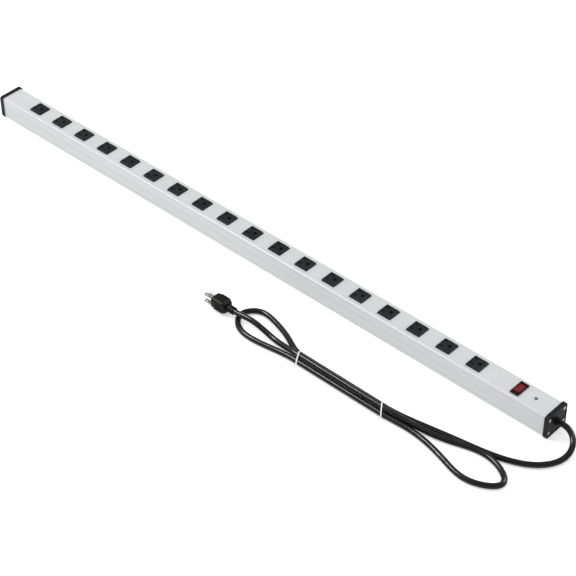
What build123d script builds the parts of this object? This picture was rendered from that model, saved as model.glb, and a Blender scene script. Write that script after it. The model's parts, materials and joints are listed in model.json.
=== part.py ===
"""Rack power strip with eighteen outlets, a lighted rocker switch and a folded cord.

Millimetres. The origin is the centre of the housing's back face, which is the face that
lies against a rack post. +X runs along the housing to the cord end, +Z points out of the
outlets, and the cord lies folded on the -Y side.
"""

from build123d import *
import math
import os

# ---- driving dimensions -------------------------------------------------------------

HOUSING_LENGTH = 1204.2
HOUSING_WIDTH = 44.0
HOUSING_HEIGHT = 38.4
HOUSING_WALL = 1.8
HOUSING_TOP_RADIUS = 3.5
CLEARANCE = 0.1

OUTLET_COUNT = 18
OUTLET_PITCH = 58.0
FIRST_OUTLET_X = -526.7
OUTLET_FACE_X = 26.6
OUTLET_FACE_Y = 25.4
OUTLET_PROUD = 4.0

SWITCH_X = 538.8
BEZEL_X = 15.5
BEZEL_Y = 29.0
GROUND_SCREW_X = 569.1

CAP_THICKNESS = 7.5
CAP_OVERHANG = 2.0
CAP_SCREW_Y = 18.4
CAP_SCREW_Z = 12.6

CORD_RADIUS = 4.6
FLOOR_Z = -CAP_OVERHANG
BUNDLE_Y = -141.5
TIE_RIGHT_X = 393.0
TIE_LEFT_X = 226.0

# ---- worked-out dimensions ----------------------------------------------------------

HALF_LENGTH = HOUSING_LENGTH / 2
HALF_WIDTH = HOUSING_WIDTH / 2
TOP_Z = HOUSING_HEIGHT
ROOF_Z = TOP_Z - HOUSING_WALL
INNER_HALF_WIDTH = HALF_WIDTH - HOUSING_WALL
MID_Z = HOUSING_HEIGHT / 2
OUTLET_XS = [FIRST_OUTLET_X + OUTLET_PITCH * i for i in range(OUTLET_COUNT)]
SIDES = (-1, 1)
CORNERS = [(y * CAP_SCREW_Y, MID_Z + z * CAP_SCREW_Z) for y in SIDES for z in SIDES]

# Sides, feet and grooves of the channel, and the plate that slides into them.
FOOT_WALL = 2.8
FOOT_HEIGHT = 3.0
PLATE_THICKNESS = 1.5
GROOVE_DEPTH = 1.0
GROOVE_BOTTOM_Z = 0.5
GROOVE_TOP_Z = 1.4
SCREW_PORT_RADIUS = 3.4
SCREW_SHANK_RADIUS = 1.6
SCREW_PORT_MOUTH = 1.8
SCREW_PORT_MOUTH_DEPTH = 5.4
GROUND_SCREW_HOLE_RADIUS = 2.0

# Outlet module below its face.
MODULE_X = 23.6
MODULE_Y = 22.6
MODULE_FLOOR_Z = 16.0
COVER_THICKNESS = 1.5
FLANGE_THICKNESS = 1.0
FACE_LEDGE = 0.5
FACE_TAPER = 25.0
FACE_BLOCK = 5.0
BLADE_ROW_X = -6.4
GROUND_HOLE_X = 5.5
BLADE_SPACING = 12.7
NEUTRAL_SLOT_X = 8.6
LINE_SLOT_X = 7.4
SLOT_WIDTH = 2.4
GROUND_HOLE_RADIUS = 2.8

# Contacts and the wires that join them.
SHEET = 0.8
LEAF_GAP = 1.7
CONTACT_X = 7.0
GROUND_LEAF_GAP = 4.9
BUS_Z = 9.5
BUS_RADIUS = 1.0
BUS_START_X = -540.1
BUS_END_X = 492.0

# Switch.
BEZEL_HEIGHT = 2.6
SWITCH_BODY_X = 13.4
SWITCH_BODY_Y = 27.0
SWITCH_FLOOR_Z = 18.0
SWITCH_FLOOR = 1.5
WELL_X = 11.0
WELL_Y = 24.0
ROCKER_X = 10.4
ROCKER_Y = 21.6
ROCKER_AXIS_Z = 37.5
ROCKER_REST_TILT = 9.0
ARM_AXIS_Z = 24.9
ARM_REST_TILT = 5.0
ARM_HALF_Y = 9.0
ARM_BALANCE_Y = 1.2
TAB_WIDTH = 4.8

# Cord: three conductors in one jacket.
CORE_CIRCLE_RADIUS = 1.96
CORE_RADIUS = 1.64
JACKET_BORE_RADIUS = 3.75
CORE_GRIP = 8.0
STRAND_SPREAD = 7.1
STRAND_RISE = 6.0
FLOOR_LAY_Z = FLOOR_Z + CORD_RADIUS + CLEARANCE / 2
TIE_THICKNESS = 0.7
TIE_WIDTH = 3.0
BUNDLE_LAY_Z = FLOOR_Z + TIE_THICKNESS + CORD_RADIUS + CLEARANCE
CORD_EXIT_Z = MID_Z
JACKET_START_X = HALF_LENGTH - 14
BUSH_REACH = 12.0

# Plug, lying on its side with its ground pin away from the housing's front.
PLUG_BACK_X = 84.0
PLUG_Z = FLOOR_Z + 13.3
PLUG_Y = -136.5
PLUG_NECK = 14.0
PLUG_BODY = 28.0
PLUG_FACE_X = PLUG_BACK_X - PLUG_NECK - PLUG_BODY
BLADE_LENGTH = 17.5
BLADE_WIDTH = 6.3
BLADE_THICKNESS = 1.5
PIN_RADIUS = 2.375
PIN_LENGTH = 20.0
PIN_ROOT_RADIUS = 1.9
PIN_RELIEF = 0.4
PIN_TIP_ROUNDING = 2.1
PIN_OFFSET = 11.9
PLUG_INSERT = 12.0
CORD_END_GAP = 6.0


def save(part, name):
    """Label one piece and write it as its own file."""
    part.label = name
    export_step(part, f"parts/{name}.step")


def along_x(start_x):
    """Plane across the housing at start_x: its local x is +Y, its local y is +Z."""
    return Plane.YZ.offset(start_x)


os.makedirs("parts", exist_ok=True)

# ---- housing ------------------------------------------------------------------------

with BuildPart() as housing:
    with BuildSketch(along_x(0)) as channel_profile:
        with Locations((0, MID_Z)):
            Rectangle(HOUSING_WIDTH, HOUSING_HEIGHT)
        fillet(channel_profile.vertices().group_by(Axis.Y)[-1], HOUSING_TOP_RADIUS)
        with Locations((0, (ROOF_Z + FOOT_HEIGHT) / 2)):
            Rectangle(2 * INNER_HALF_WIDTH, ROOF_Z - FOOT_HEIGHT, mode=Mode.SUBTRACT)
        with Locations((0, FOOT_HEIGHT / 2)):
            Rectangle(HOUSING_WIDTH - 2 * FOOT_WALL, FOOT_HEIGHT, mode=Mode.SUBTRACT)
        with Locations((0, (GROOVE_BOTTOM_Z + GROOVE_TOP_Z) / 2)):
            Rectangle(
                HOUSING_WIDTH - 2 * FOOT_WALL + 2 * GROOVE_DEPTH,
                GROOVE_TOP_Z - GROOVE_BOTTOM_Z,
                mode=Mode.SUBTRACT,
            )
        with Locations(*CORNERS):
            Circle(SCREW_PORT_RADIUS)
            Circle(SCREW_SHANK_RADIUS + CLEARANCE / 2, mode=Mode.SUBTRACT)
        for port_y, port_z in CORNERS:
            with Locations((port_y - math.copysign(SCREW_PORT_MOUTH_DEPTH / 2, port_y), port_z)):
                Rectangle(SCREW_PORT_MOUTH_DEPTH, SCREW_PORT_MOUTH, mode=Mode.SUBTRACT)
    extrude(amount=HALF_LENGTH, both=True)
    with BuildSketch(Plane.XY.offset(TOP_Z)):
        with Locations(*[(x, 0) for x in OUTLET_XS]):
            Rectangle(MODULE_X + 2 * CLEARANCE, MODULE_Y + 2 * CLEARANCE)
        with Locations((SWITCH_X, 0)):
            Rectangle(SWITCH_BODY_X + 2 * CLEARANCE, SWITCH_BODY_Y + 2 * CLEARANCE)
        with Locations((GROUND_SCREW_X, 0)):
            Circle(GROUND_SCREW_HOLE_RADIUS)
    extrude(amount=-2 * HOUSING_WALL, mode=Mode.SUBTRACT)
save(housing.part, "housing_extrusion")

KEYHOLE_X = 575.0
KEYHOLE_ENTRY_RADIUS = 4.5
KEYHOLE_NECK_WIDTH = 4.6
KEYHOLE_NECK_LENGTH = 9.0

with BuildPart() as base_plate:
    with BuildSketch(along_x(0)):
        with Locations((0, PLATE_THICKNESS / 2)):
            Rectangle(HOUSING_WIDTH - 2 * FOOT_WALL - 2 * CLEARANCE, PLATE_THICKNESS)
        with Locations((0, (GROOVE_BOTTOM_Z + GROOVE_TOP_Z) / 2)):
            Rectangle(
                HOUSING_WIDTH - 2 * FOOT_WALL + 2 * GROOVE_DEPTH - 2 * CLEARANCE,
                GROOVE_TOP_Z - GROOVE_BOTTOM_Z - 2 * CLEARANCE,
            )
    extrude(amount=HALF_LENGTH - CLEARANCE, both=True)
    with BuildSketch(Plane.XY):
        with Locations((-KEYHOLE_X, 0), (KEYHOLE_X, 0)):
            Circle(KEYHOLE_ENTRY_RADIUS)
        with Locations(
            (-KEYHOLE_X - KEYHOLE_NECK_LENGTH / 2, 0), (KEYHOLE_X - KEYHOLE_NECK_LENGTH / 2, 0)
        ):
            SlotOverall(KEYHOLE_NECK_LENGTH + KEYHOLE_NECK_WIDTH, KEYHOLE_NECK_WIDTH)
    extrude(amount=PLATE_THICKNESS, mode=Mode.SUBTRACT)
save(base_plate.part, "base_plate")

# ---- end caps -----------------------------------------------------------------------

CAP_WIDTH = HOUSING_WIDTH + 2 * CAP_OVERHANG
CAP_HEIGHT = HOUSING_HEIGHT + 2 * CAP_OVERHANG
CAP_RADIUS = 4.5
CAP_EDGE = 1.2
CAP_RIM = 2.2
CAP_PANEL_DEPTH = 0.8
CAP_SCREW_SEAT = 4.4
CAP_HEAD_RADIUS = 3.2
CAP_HEAD_HEIGHT = 2.2
CAP_HEAD_ROUNDING = 0.9
CAP_SHANK_LENGTH = 16.0
CAP_RECESS_LENGTH = 3.4
CAP_RECESS_WIDTH = 0.8
CAP_RECESS_DEPTH = 1.2
CAP_POCKET_RADIUS = 3.6
SPIGOT_HALF_Y = 13.0
SPIGOT_Z = (5.0, 33.0)
SPIGOT_DEPTH = 6.0
SPIGOT_WALL = 1.6
BUSH_FLANGE_RADIUS = 8.0
BUSH_HOLE_RADIUS = 6.6


def end_cap(has_cord):
    """End cap on the +X end, with a hole for the cord bush if it has a cord."""
    with BuildPart() as cap:
        with BuildSketch(along_x(HALF_LENGTH)):
            with Locations((0, MID_Z)):
                RectangleRounded(CAP_WIDTH, CAP_HEIGHT, CAP_RADIUS)
        extrude(amount=CAP_THICKNESS)
        fillet(cap.faces().sort_by(Axis.X)[-1].edges(), CAP_EDGE)
        with BuildSketch(along_x(HALF_LENGTH + CAP_THICKNESS)):
            with Locations((0, MID_Z)):
                RectangleRounded(CAP_WIDTH - 2 * CAP_RIM, CAP_HEIGHT - 2 * CAP_RIM, CAP_RADIUS - CAP_RIM)
        extrude(amount=-CAP_PANEL_DEPTH, mode=Mode.SUBTRACT)
        with BuildSketch(along_x(HALF_LENGTH)):
            with Locations((0, sum(SPIGOT_Z) / 2)):
                Rectangle(2 * SPIGOT_HALF_Y, SPIGOT_Z[1] - SPIGOT_Z[0])
                Rectangle(
                    2 * (SPIGOT_HALF_Y - SPIGOT_WALL),
                    SPIGOT_Z[1] - SPIGOT_Z[0] - 2 * SPIGOT_WALL,
                    mode=Mode.SUBTRACT,
                )
        extrude(amount=-SPIGOT_DEPTH)
        with BuildSketch(along_x(HALF_LENGTH)):
            with Locations(*CORNERS):
                Circle(SCREW_SHANK_RADIUS + CLEARANCE)
        extrude(amount=CAP_THICKNESS, mode=Mode.SUBTRACT)
        with BuildSketch(along_x(HALF_LENGTH + CAP_SCREW_SEAT)):
            with Locations(*CORNERS):
                Circle(CAP_POCKET_RADIUS)
        extrude(amount=CAP_THICKNESS, mode=Mode.SUBTRACT)
        if has_cord:
            with BuildSketch(along_x(HALF_LENGTH)):
                with Locations((0, CORD_EXIT_Z)):
                    Circle(BUSH_HOLE_RADIUS + CLEARANCE)
            extrude(amount=CAP_THICKNESS, mode=Mode.SUBTRACT)
    return cap.part


def cap_screws():
    """Four self-tapping screws on the +X end, with a cross recess in each pan head."""
    with BuildPart() as screws:
        with BuildSketch(along_x(HALF_LENGTH + CAP_SCREW_SEAT)):
            with Locations(*CORNERS):
                Circle(CAP_HEAD_RADIUS)
        extrude(amount=CAP_HEAD_HEIGHT)
        fillet(screws.faces().group_by(Axis.X)[-1].edges(), CAP_HEAD_ROUNDING)
        with BuildSketch(along_x(HALF_LENGTH + CAP_SCREW_SEAT)):
            with Locations(*CORNERS):
                Circle(SCREW_SHANK_RADIUS)
        extrude(amount=-CAP_SHANK_LENGTH)
        with BuildSketch(along_x(HALF_LENGTH + CAP_SCREW_SEAT + CAP_HEAD_HEIGHT)):
            with Locations(*CORNERS):
                Rectangle(CAP_RECESS_LENGTH, CAP_RECESS_WIDTH)
                Rectangle(CAP_RECESS_WIDTH, CAP_RECESS_LENGTH)
        extrude(amount=-CAP_RECESS_DEPTH, mode=Mode.SUBTRACT)
    return screws.part


cap_cord = end_cap(True)
cap_plain = mirror(end_cap(False), about=Plane.YZ)
screws_cord = cap_screws()
screws_plain = mirror(screws_cord, about=Plane.YZ)
save(cap_cord, "end_cap_cord")
save(cap_plain, "end_cap_plain")
save(screws_cord, "end_cap_screws_cord")
save(screws_plain, "end_cap_screws_plain")

# ---- outlets ------------------------------------------------------------------------

FACE_Z = TOP_Z + OUTLET_PROUD
POCKET_ROOF_Z = FACE_Z - FACE_BLOCK
POLE_POCKET_X = 9.6
POLE_POCKET_Y = 6.6
GROUND_POCKET_X = 9.0
GROUND_POCKET_Y = 8.4
OUTLET_CORNER_RADIUS = 0.8
SNAP_DEPTH = 0.9
SNAP_HEIGHT = 4.5
SNAP_WIDTH = 8.0
POLE_SPOTS = [(BLADE_ROW_X, -BLADE_SPACING / 2), (BLADE_ROW_X, BLADE_SPACING / 2)]


def outlet(centre_x):
    """One three-pole outlet module: bevelled face, blade slots, ground hole, snap wedges."""
    with BuildPart() as module:
        with BuildSketch(Plane.XY.offset(TOP_Z)):
            with Locations((centre_x, 0)):
                RectangleRounded(OUTLET_FACE_X, OUTLET_FACE_Y, OUTLET_CORNER_RADIUS)
        extrude(amount=FLANGE_THICKNESS)
        with BuildSketch(Plane.XY.offset(TOP_Z + FLANGE_THICKNESS)):
            with Locations((centre_x, 0)):
                Rectangle(OUTLET_FACE_X - 2 * FACE_LEDGE, OUTLET_FACE_Y - 2 * FACE_LEDGE)
        extrude(amount=OUTLET_PROUD - FLANGE_THICKNESS, taper=FACE_TAPER)
        with BuildSketch(Plane.XY.offset(MODULE_FLOOR_Z)):
            with Locations((centre_x, 0)):
                Rectangle(MODULE_X, MODULE_Y)
        extrude(amount=TOP_Z - MODULE_FLOOR_Z)
        for side in SIDES:
            with BuildSketch(Plane.XZ.offset(-SNAP_WIDTH / 2)):
                with BuildLine():
                    wall_x = centre_x + side * MODULE_X / 2
                    Polyline(
                        (wall_x, ROOF_Z - CLEARANCE),
                        (wall_x + side * SNAP_DEPTH, ROOF_Z - CLEARANCE),
                        (wall_x, ROOF_Z - SNAP_HEIGHT),
                        close=True,
                    )
                make_face()
            extrude(amount=SNAP_WIDTH)
        with BuildSketch(Plane.XY.offset(MODULE_FLOOR_Z)):
            with Locations(*[(centre_x + x, y) for x, y in POLE_SPOTS]):
                Rectangle(POLE_POCKET_X, POLE_POCKET_Y)
            with Locations((centre_x + GROUND_HOLE_X, 0)):
                Rectangle(GROUND_POCKET_X, GROUND_POCKET_Y)
        extrude(amount=POCKET_ROOF_Z - MODULE_FLOOR_Z, mode=Mode.SUBTRACT)
        with BuildSketch(Plane.XY.offset(FACE_Z)):
            with Locations((centre_x + BLADE_ROW_X, -BLADE_SPACING / 2)):
                Rectangle(NEUTRAL_SLOT_X, SLOT_WIDTH)
            with Locations((centre_x + BLADE_ROW_X, BLADE_SPACING / 2)):
                Rectangle(LINE_SLOT_X, SLOT_WIDTH)
            with Locations((centre_x + GROUND_HOLE_X, 0)):
                Circle(GROUND_HOLE_RADIUS)
            with Locations((centre_x + GROUND_HOLE_X - GROUND_HOLE_RADIUS / 2, 0)):
                Rectangle(GROUND_HOLE_RADIUS, 2 * GROUND_HOLE_RADIUS)
        extrude(amount=-FACE_BLOCK, mode=Mode.SUBTRACT)
    return module.part


for number, outlet_x in enumerate(OUTLET_XS, start=1):
    save(outlet(outlet_x), f"outlet_{number:02d}")

COVER_TOP_Z = MODULE_FLOOR_Z - CLEARANCE / 2
TAB_SLOT_X = 1.2
TAB_SLOT_Y = 5.4

with BuildPart() as outlet_covers:
    with BuildSketch(Plane.XY.offset(COVER_TOP_Z)):
        with Locations(*[(x, 0) for x in OUTLET_XS]):
            Rectangle(MODULE_X, MODULE_Y)
        with Locations(*[(x + dx, dy) for x in OUTLET_XS for dx, dy in POLE_SPOTS]):
            Rectangle(TAB_SLOT_X, TAB_SLOT_Y, mode=Mode.SUBTRACT)
        with Locations(*[(x + GROUND_HOLE_X, 0) for x in OUTLET_XS]):
            Rectangle(TAB_SLOT_X, TAB_SLOT_Y, mode=Mode.SUBTRACT)
    extrude(amount=-COVER_THICKNESS)
save(outlet_covers.part, "outlet_rear_covers")

# ---- contacts and bus wires ---------------------------------------------------------

LEAF_BOTTOM_Z = MODULE_FLOOR_Z + 1.0
LEAF_TOP_Z = POCKET_ROOF_Z - 1.5
TAB_BOTTOM_Z = BUS_Z - 1.5
TAB_Y = 5.0
FORK_GAP = 2 * BUS_RADIUS + CLEARANCE


def contacts(spot_x, spot_y, leaf_gap):
    """One spring contact in every outlet: two leaves, a bridge and a fork over the bus wire."""
    spots = [(x + spot_x, spot_y) for x in OUTLET_XS]
    with BuildPart() as group:
        with BuildSketch(Plane.XY.offset(LEAF_BOTTOM_Z)):
            with Locations(*spots):
                Rectangle(CONTACT_X, leaf_gap + 2 * SHEET)
        extrude(amount=LEAF_TOP_Z - LEAF_BOTTOM_Z)
        with BuildSketch(Plane.XY.offset(LEAF_BOTTOM_Z + SHEET)):
            with Locations(*spots):
                Rectangle(CONTACT_X, leaf_gap)
        extrude(amount=LEAF_TOP_Z - LEAF_BOTTOM_Z, mode=Mode.SUBTRACT)
        with BuildSketch(Plane.XY.offset(TAB_BOTTOM_Z)):
            with Locations(*spots):
                Rectangle(SHEET, TAB_Y)
        extrude(amount=LEAF_BOTTOM_Z - TAB_BOTTOM_Z)
        with BuildSketch(Plane.XY.offset(TAB_BOTTOM_Z)):
            with Locations(*spots):
                Rectangle(SHEET, FORK_GAP)
        extrude(amount=BUS_Z + BUS_RADIUS + CLEARANCE - TAB_BOTTOM_Z, mode=Mode.SUBTRACT)
    return group.part


save(contacts(BLADE_ROW_X, -BLADE_SPACING / 2, LEAF_GAP), "contacts_neutral")
save(contacts(BLADE_ROW_X, BLADE_SPACING / 2, LEAF_GAP), "contacts_line")
save(contacts(GROUND_HOLE_X, 0, GROUND_LEAF_GAP), "contacts_ground")


def bus_wire(spot_y):
    """Straight bare wire through one pole's forks."""
    with BuildPart() as bus:
        with BuildSketch(along_x(BUS_START_X)):
            with Locations((spot_y, BUS_Z)):
                Circle(BUS_RADIUS)
        extrude(amount=BUS_END_X - BUS_START_X)
    return bus.part


BUS_YS = {"neutral": -BLADE_SPACING / 2, "line": BLADE_SPACING / 2, "ground": 0}

for pole, bus_y in BUS_YS.items():
    save(bus_wire(bus_y), f"bus_wire_{pole}")

SPLICE_RADIUS = 2.6
SPLICE_HALF_LENGTH = 5.0

# Crimped tubes that join each bus wire to an insulated one.
with BuildPart() as splices:
    with BuildSketch(along_x(BUS_END_X)):
        with Locations(*[(y, BUS_Z) for y in BUS_YS.values()]):
            Circle(SPLICE_RADIUS)
    extrude(amount=SPLICE_HALF_LENGTH, both=True)
    with BuildSketch(along_x(BUS_END_X)):
        with Locations(*[(y, BUS_Z) for y in BUS_YS.values()]):
            Circle(BUS_RADIUS + CLEARANCE / 2)
    extrude(amount=-SPLICE_HALF_LENGTH, mode=Mode.SUBTRACT)
    with BuildSketch(along_x(BUS_END_X)):
        with Locations(*[(y, BUS_Z) for y in BUS_YS.values()]):
            Circle(CORE_RADIUS + CLEARANCE / 2)
    extrude(amount=SPLICE_HALF_LENGTH, mode=Mode.SUBTRACT)
save(splices.part, "crimp_splices")

# ---- switch -------------------------------------------------------------------------

BEZEL_TOP_Z = TOP_Z + BEZEL_HEIGHT
BEZEL_CORNER_RADIUS = 1.0
BEZEL_BEVEL = 0.7
PIVOT_PIN_RADIUS = 1.2
PIVOT_PIN_REACH = 0.9
TERMINAL_YS = {"load": -8.5, "common": 0.0, "neutral": 8.5}
TERMINAL_TIP_Z = 9.5
ARM_THICKNESS = 0.8
ARM_WIDTH = 4.0
PLUNGER_RADIUS = 1.8
PLUNGER_REACH = 12.1

with BuildPart() as switch_housing:
    with BuildSketch(Plane.XY.offset(TOP_Z)):
        with Locations((SWITCH_X, 0)):
            RectangleRounded(BEZEL_X, BEZEL_Y, BEZEL_CORNER_RADIUS)
    extrude(amount=BEZEL_HEIGHT)
    chamfer(switch_housing.faces().sort_by(Axis.Z)[-1].edges(), BEZEL_BEVEL)
    with BuildSketch(Plane.XY.offset(SWITCH_FLOOR_Z)):
        with Locations((SWITCH_X, 0)):
            Rectangle(SWITCH_BODY_X, SWITCH_BODY_Y)
    extrude(amount=TOP_Z - SWITCH_FLOOR_Z)
    with BuildSketch(Plane.XY.offset(SWITCH_FLOOR_Z + SWITCH_FLOOR)):
        with Locations((SWITCH_X, 0)):
            Rectangle(WELL_X, WELL_Y)
    extrude(amount=BEZEL_TOP_Z - SWITCH_FLOOR_Z, mode=Mode.SUBTRACT)
    with BuildSketch(Plane.XY.offset(SWITCH_FLOOR_Z)):
        with Locations(*[(SWITCH_X, y) for y in TERMINAL_YS.values()]):
            Rectangle(TAB_WIDTH + 2 * CLEARANCE, SHEET + 2 * CLEARANCE)
    extrude(amount=SWITCH_FLOOR, mode=Mode.SUBTRACT)
    with BuildSketch(along_x(SWITCH_X)):
        with Locations((0, ROCKER_AXIS_Z)):
            Circle(PIVOT_PIN_RADIUS + CLEARANCE / 2)
    extrude(amount=WELL_X / 2 + PIVOT_PIN_REACH, both=True, mode=Mode.SUBTRACT)
save(switch_housing.part, "switch_housing")

# The rocker is drawn level about its axis, then tipped to where it rests: the +Y end is in.
ROCKER_AXIS = Axis((SWITCH_X, 0, ROCKER_AXIS_Z), (1, 0, 0))
ROCKER_TOP = 4.0
ROCKER_DISH = 1.0
ROCKER_EDGE = 0.8
ROCKER_SHOULDER = -0.4
ROCKER_BELLY = -3.2
ROCKER_BELLY_HALF_Y = 6.2
SOCKET_RADIUS = 2.7
SOCKET_BOTTOM = -6.6
SOCKET_HEIGHT = 4.0
SOCKET_DEPTH = 7.0

with BuildPart() as switch_rocker:
    with BuildSketch(along_x(SWITCH_X)):
        with BuildLine():
            half = ROCKER_Y / 2
            top = ROCKER_AXIS_Z + ROCKER_TOP
            ThreePointArc((-half, top), (0, top - ROCKER_DISH), (half, top))
            Polyline(
                (half, top),
                (half, ROCKER_AXIS_Z + ROCKER_SHOULDER),
                (ROCKER_BELLY_HALF_Y, ROCKER_AXIS_Z + ROCKER_BELLY),
                (-ROCKER_BELLY_HALF_Y, ROCKER_AXIS_Z + ROCKER_BELLY),
                (-half, ROCKER_AXIS_Z + ROCKER_SHOULDER),
                (-half, top),
            )
        make_face()
    extrude(amount=ROCKER_X / 2, both=True)
    fillet(switch_rocker.edges().filter_by(Axis.X).group_by(Axis.Z)[-1], ROCKER_EDGE)
    with BuildSketch(along_x(SWITCH_X)):
        with Locations((0, ROCKER_AXIS_Z)):
            Circle(PIVOT_PIN_RADIUS)
    extrude(amount=WELL_X / 2 + PIVOT_PIN_REACH - CLEARANCE, both=True)
    with BuildSketch(Plane.XY.offset(ROCKER_AXIS_Z + SOCKET_BOTTOM)):
        with Locations((SWITCH_X, 0)):
            Circle(SOCKET_RADIUS)
    extrude(amount=SOCKET_HEIGHT)
    with BuildSketch(Plane.XY.offset(ROCKER_AXIS_Z + SOCKET_BOTTOM)):
        with Locations((SWITCH_X, 0)):
            Circle(PLUNGER_RADIUS + CLEARANCE)
    extrude(amount=SOCKET_DEPTH, mode=Mode.SUBTRACT)
save(switch_rocker.part.rotate(ROCKER_AXIS, -ROCKER_REST_TILT), "switch_rocker")

PLUNGER_TOP = -5.0
PLUNGER_SEAT_RADIUS = 1.1

with BuildPart() as switch_plunger:
    with BuildSketch(along_x(SWITCH_X)):
        with BuildLine():
            tip = ROCKER_AXIS_Z - PLUNGER_REACH
            Polyline(
                (0, ROCKER_AXIS_Z + PLUNGER_TOP),
                (PLUNGER_RADIUS, ROCKER_AXIS_Z + PLUNGER_TOP),
                (PLUNGER_RADIUS, tip + PLUNGER_RADIUS),
            )
            RadiusArc((PLUNGER_RADIUS, tip + PLUNGER_RADIUS), (0, tip), PLUNGER_RADIUS)
            Line((0, tip), (0, ROCKER_AXIS_Z + PLUNGER_TOP))
        make_face()
    revolve(axis=Axis((SWITCH_X, 0, 0), (0, 0, 1)))
save(switch_plunger.part.rotate(ROCKER_AXIS, -ROCKER_REST_TILT), "switch_plunger")

SPRING_WIRE = 0.25
SPRING_RADIUS = 1.35
SPRING_LENGTH = 4.4
SPRING_TURNS = 5

with BuildPart() as switch_spring:
    with BuildLine() as coil:
        Helix(
            pitch=SPRING_LENGTH / SPRING_TURNS,
            height=SPRING_LENGTH,
            radius=SPRING_RADIUS,
            center=(SWITCH_X, 0, ROCKER_AXIS_Z + PLUNGER_TOP + SPRING_WIRE + CLEARANCE),
        )
    with BuildSketch(Plane(origin=coil.line @ 0, z_dir=coil.line % 0)):
        Circle(SPRING_WIRE)
    sweep(path=coil.line, is_frenet=True)
save(switch_spring.part.rotate(ROCKER_AXIS, -ROCKER_REST_TILT), "switch_spring")

ARM_AXIS = Axis((SWITCH_X, 0, ARM_AXIS_Z), (1, 0, 0))
CONTACT_BUTTON_RADIUS = 1.5
CONTACT_BUTTON_HEIGHT = 0.7

with BuildPart() as contact_arm:
    with BuildSketch(Plane.XY.offset(ARM_AXIS_Z - ARM_THICKNESS / 2)):
        with Locations((SWITCH_X, ARM_BALANCE_Y / 2)):
            Rectangle(ARM_WIDTH, 2 * ARM_HALF_Y + ARM_BALANCE_Y)
    extrude(amount=ARM_THICKNESS)
    with BuildSketch(Plane.XY.offset(ARM_AXIS_Z - ARM_THICKNESS / 2)):
        with Locations((SWITCH_X, -ARM_HALF_Y + CONTACT_BUTTON_RADIUS)):
            Circle(CONTACT_BUTTON_RADIUS)
    extrude(amount=-CONTACT_BUTTON_HEIGHT)
save(contact_arm.part.rotate(ARM_AXIS, ARM_REST_TILT), "switch_contact_arm")


TAB_TIP_BEVEL = 0.9


def terminal(at_y, top_z):
    """Flat quick-connect tab that stands through the switch floor."""
    with BuildPart() as tab:
        with BuildSketch(Plane.XY.offset(TERMINAL_TIP_Z)):
            with Locations((SWITCH_X, at_y)):
                Rectangle(TAB_WIDTH, SHEET)
        extrude(amount=top_z - TERMINAL_TIP_Z)
        chamfer(tab.edges().filter_by(Axis.Y).group_by(Axis.Z)[0], TAB_TIP_BEVEL)
    return tab.part


FIXED_BUTTON_TOP_Z = ARM_AXIS_Z - 1.9
FIXED_BUTTON_INSET = 0.8

with BuildPart() as terminal_load:
    add(terminal(TERMINAL_YS["load"], FIXED_BUTTON_TOP_Z - CONTACT_BUTTON_HEIGHT))
    with BuildSketch(Plane.XY.offset(FIXED_BUTTON_TOP_Z - CONTACT_BUTTON_HEIGHT)):
        with Locations((SWITCH_X, TERMINAL_YS["load"] + FIXED_BUTTON_INSET)):
            Circle(CONTACT_BUTTON_RADIUS)
    extrude(amount=CONTACT_BUTTON_HEIGHT)
save(terminal_load.part, "switch_terminal_load")
COMMON_TOP_Z = ARM_AXIS_Z - ARM_THICKNESS / 2 - CLEARANCE
NEUTRAL_TOP_Z = SWITCH_FLOOR_Z + SWITCH_FLOOR + 1.0
save(terminal(TERMINAL_YS["common"], COMMON_TOP_Z), "switch_terminal_common")
save(terminal(TERMINAL_YS["neutral"], NEUTRAL_TOP_Z), "switch_terminal_neutral")

LAMP_RADIUS = 1.5
LAMP_LENGTH = 7.0
LAMP_Y = 9.6
LAMP_Z = 29.4
RESISTOR_RADIUS = 1.1
RESISTOR_LENGTH = 6.0
RESISTOR_Y = -9.9
LEAD_RADIUS = 0.3
LEAD_REACH = 1.4
BEAD_ROUNDING = 0.4


def bead(at_y, radius, length):
    """Rounded cylinder along X with a lead out of each end."""
    with BuildPart() as component:
        with BuildSketch(along_x(SWITCH_X)):
            with Locations((at_y, LAMP_Z)):
                Circle(radius)
        extrude(amount=length / 2, both=True)
        fillet(component.edges(), BEAD_ROUNDING)
        with BuildSketch(along_x(SWITCH_X)):
            with Locations((at_y, LAMP_Z)):
                Circle(LEAD_RADIUS)
        extrude(amount=length / 2 + LEAD_REACH, both=True)
    return component.part


save(bead(LAMP_Y, LAMP_RADIUS, LAMP_LENGTH), "switch_neon_lamp")
save(bead(RESISTOR_Y, RESISTOR_RADIUS, RESISTOR_LENGTH), "switch_lamp_resistor")

BIMETAL_Y = 5.0
BIMETAL_HALF_Y = 2.8
BIMETAL_Z = 20.3
BIMETAL_BOW = 0.6
BIMETAL_THICKNESS = 0.5
BIMETAL_HALF_X = 1.6

# Sprung strip that carries the load current and bows when it overheats.
with BuildPart() as breaker:
    with BuildSketch(along_x(SWITCH_X)):
        with BuildLine():
            near_y = BIMETAL_Y - BIMETAL_HALF_Y
            far_y = BIMETAL_Y + BIMETAL_HALF_Y
            upper_z = BIMETAL_Z + BIMETAL_THICKNESS
            ThreePointArc((near_y, BIMETAL_Z), (BIMETAL_Y, BIMETAL_Z + BIMETAL_BOW), (far_y, BIMETAL_Z))
            ThreePointArc((far_y, upper_z), (BIMETAL_Y, upper_z + BIMETAL_BOW), (near_y, upper_z))
            Line((near_y, BIMETAL_Z), (near_y, upper_z))
            Line((far_y, BIMETAL_Z), (far_y, upper_z))
        make_face()
    extrude(amount=BIMETAL_HALF_X, both=True)
save(breaker.part, "breaker_bimetal")

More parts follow.
